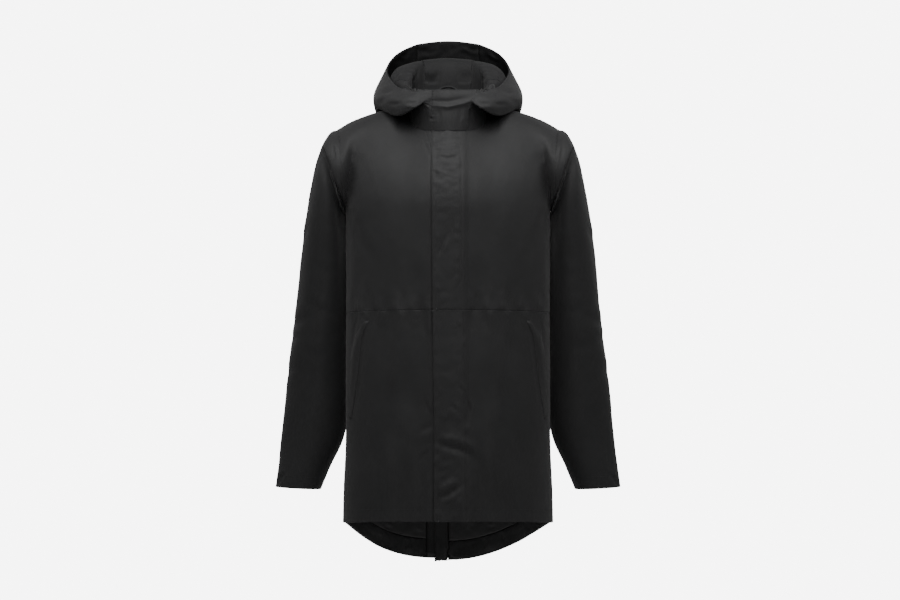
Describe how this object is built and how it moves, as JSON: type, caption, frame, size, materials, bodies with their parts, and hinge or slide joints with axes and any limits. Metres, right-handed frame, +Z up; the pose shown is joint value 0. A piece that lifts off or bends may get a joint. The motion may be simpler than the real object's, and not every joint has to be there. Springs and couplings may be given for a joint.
{
  "type": "parka",
  "caption": "Hip-length hooded parka in a smooth near-black woven cloth, filled out as worn, hood lying back, fly front closed.",
  "frame": {"origin": "between the shoulders at the base of the neck, where the wearer holds the garment up", "axes": "+Z up along the body, -Y to the front, +X to the wearer's left"},
  "size_m": [0.679, 0.3523, 1.0378],
  "materials": {
    "shell": "smooth tight weave with a slight sheen",
    "lining": "thin plain weave, slightly glossy",
    "facing": "coated inner face, crinkled, slightly shiny",
    "tape": "woven tape"
  },
  "bodies": {
    "root": {"front_upper_left": "shell", "front_upper_right": "shell", "front_lower_left": "shell", "front_lower_right": "shell", "back_left": "shell", "back_right": "shell", "sleeve_left": "shell", "sleeve_right": "shell", "hood_centre": "shell", "hood_left": "shell", "hood_right": "shell", "hood_lining_centre": "lining", "hood_lining_left": "lining", "hood_lining_right": "lining", "hood_facing_centre": "facing", "hood_facing_left": "facing", "hood_facing_right": "facing", "back_lining_left": "lining", "back_lining_right": "lining", "hem_facing_left": "facing", "hem_facing_right": "facing", "vent_facing": "facing", "vent_flap": "shell", "pocket_welt_left": "shell", "pocket_welt_right": "shell", "zip_underlay": "tape", "hanger_loop": "tape"}
  },
  "joints": []
}
